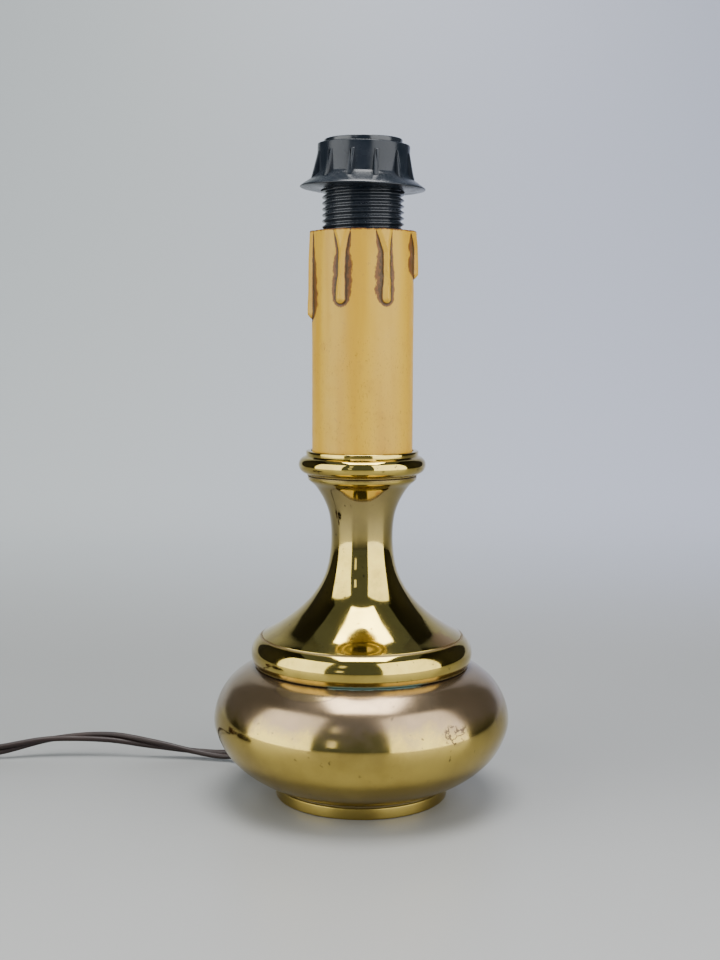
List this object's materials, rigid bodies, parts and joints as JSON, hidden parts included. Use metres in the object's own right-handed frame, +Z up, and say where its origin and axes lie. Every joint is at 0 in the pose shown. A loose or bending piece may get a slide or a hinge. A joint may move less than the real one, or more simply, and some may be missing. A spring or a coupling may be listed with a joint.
{
  "type": "table lamp with candle sleeve",
  "caption": "Turned brass table lamp: bulbous base, waisted stem, candle sleeve with drips, black lampholder and shade ring, twin flex with switch and plug.",
  "frame": {"origin": "on the lamp's axis, at the plane that its foot ring stands on", "axes": "+Z up along the lamp's axis; the front faces -Y; the flex leaves at the back left and runs towards -X"},
  "size_m": [0.3703, 0.1067, 0.2274],
  "materials": {
    "bowl_brass": "polished, tarnished brown over its upper third",
    "polished_brass": "polished, with pits and grime in the grooves",
    "contact_brass": "bright",
    "plated_steel": "zinc plated",
    "candle": "semi-gloss with a brown antique glaze round the drips",
    "black_thermoset": "glossy moulded thermoset",
    "brown_thermoset": "glossy moulded thermoset",
    "ceramic": "matt steatite",
    "brown_flex": "semi-matt soft vinyl",
    "core_brown": "semi-matt vinyl",
    "core_blue": "semi-matt vinyl",
    "black_nylon": "satin nylon",
    "fibre": "matt pressed fibre"
  },
  "bodies": {
    "lamp": {"base_bowl": "bowl_brass", "base_cover": "fibre", "bottom_washer": "plated_steel", "bottom_nut": "plated_steel", "stem_column": "polished_brass", "candle_cup": "polished_brass", "top_washer": "plated_steel", "top_nut": "contact_brass", "threaded_tube": "plated_steel", "candle_sleeve": "candle", "lampholder_cap": "black_thermoset", "grub_screw": "plated_steel", "lampholder_shell": "black_thermoset", "contact_block": "ceramic", "screw_shell": "contact_brass", "terminal_screw_live": "contact_brass", "terminal_screw_neutral": "contact_brass", "core_live": "core_brown", "core_neutral": "core_blue", "flex_inside": "brown_flex", "cable_bush": "brown_flex", "flex_to_switch": "brown_flex", "switch_lower_shell": "brown_thermoset", "switch_upper_shell": "brown_thermoset", "switch_screw_1": "plated_steel", "switch_screw_2": "plated_steel", "switch_terminal_live_in": "contact_brass", "switch_terminal_live_out": "contact_brass", "flex_to_coil": "brown_flex", "flex_coil": "brown_flex", "cord_tie": "black_nylon", "flex_to_plug": "brown_flex", "plug_body": "brown_flex", "plug_pin_1": "plated_steel", "plug_pin_2": "plated_steel"},
    "shade_ring": {"shade_ring": "black_thermoset"},
    "centre_contact": {"centre_contact": "contact_brass"},
    "rocker": {"switch_rocker": "black_thermoset", "switch_contact_bridge": "contact_brass"}
  },
  "joints": [
    {"name": "shade_ring_travel", "type": "slide", "parent": "lamp", "child": "shade_ring", "axis": [0, 0, 1], "range_m": [-0.0127, 0.011]},
    {"name": "centre_contact_flex", "type": "hinge", "parent": "lamp", "child": "centre_contact", "pos_m": [-0.0039, 0, 0.19675], "axis": [0, 1, 0], "range_deg": [0, 12], "stiffness_Nm_per_rad": 0.2},
    {"name": "switch_rocker_tilt", "type": "hinge", "parent": "lamp", "child": "rocker", "pos_m": [-0.203, 0.044, 0.0146], "axis": [0, 1, 0], "range_deg": [-16, 0]}
  ]
}
